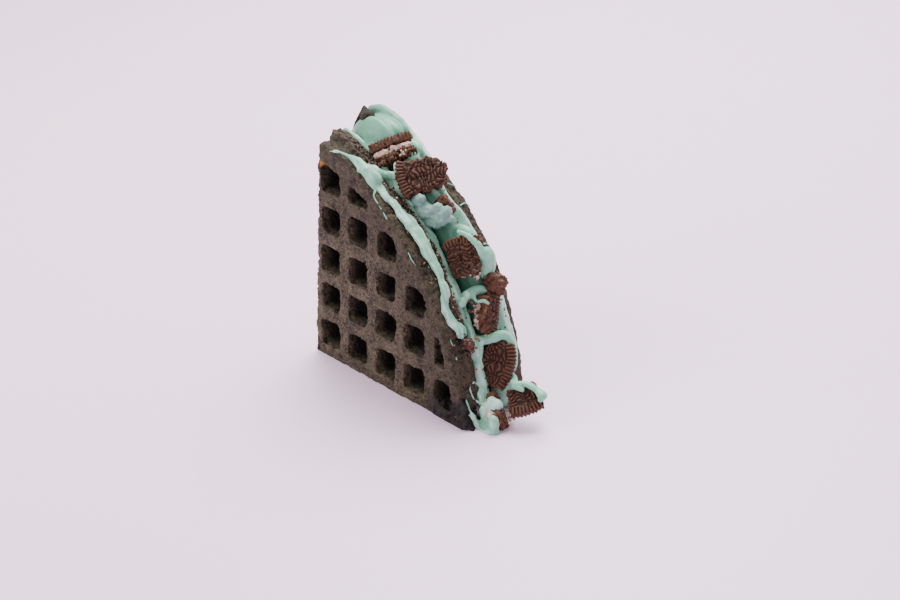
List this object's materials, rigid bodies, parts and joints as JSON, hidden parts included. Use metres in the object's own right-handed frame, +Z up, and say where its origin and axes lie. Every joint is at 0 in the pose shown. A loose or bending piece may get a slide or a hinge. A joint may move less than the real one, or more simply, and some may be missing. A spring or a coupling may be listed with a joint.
{
  "type": "chocolate waffle ice cream sandwich quarter",
  "caption": "Quarter of a round dark chocolate waffle sandwich, filled with mint cream and broken sandwich cookies and standing on a cut edge.",
  "frame": {"origin": "bottom centre of the bounding box, level with the floor that the cut edge stands on", "axes": "+X runs along the foot of the front face, from the upright cut to the curved edge; +Y runs through the thickness from the front face to the back face; +Z is up"},
  "size_m": [0.1146, 0.0468, 0.1031],
  "materials": {
    "dark_waffle": "matt, rough crumb",
    "mint_cream": "moist, soft sheen",
    "cookie_wafer": "matt, pressed relief",
    "cookie_filling": "matt, crumbly"
  },
  "bodies": {
    "root": {"front_waffle": "dark_waffle", "back_waffle": "dark_waffle", "mint_cream": "mint_cream", "cookie_a_top_wafer": "cookie_wafer", "cookie_a_filling": "cookie_filling", "cookie_a_bottom_wafer": "cookie_wafer", "cookie_b_top_wafer": "cookie_wafer", "cookie_c_crumb": "cookie_wafer", "cookie_d_top_wafer": "cookie_wafer", "cookie_d_filling": "cookie_filling", "cookie_e_crumb": "cookie_wafer", "cookie_f_top_wafer": "cookie_wafer", "cookie_f_filling": "cookie_filling", "cookie_g_top_wafer": "cookie_wafer", "cookie_g_filling": "cookie_filling", "cookie_h_top_wafer": "cookie_wafer", "cookie_h_filling": "cookie_filling", "cookie_i_top_wafer": "cookie_wafer", "cookie_j_crumb": "cookie_wafer"}
  },
  "joints": []
}
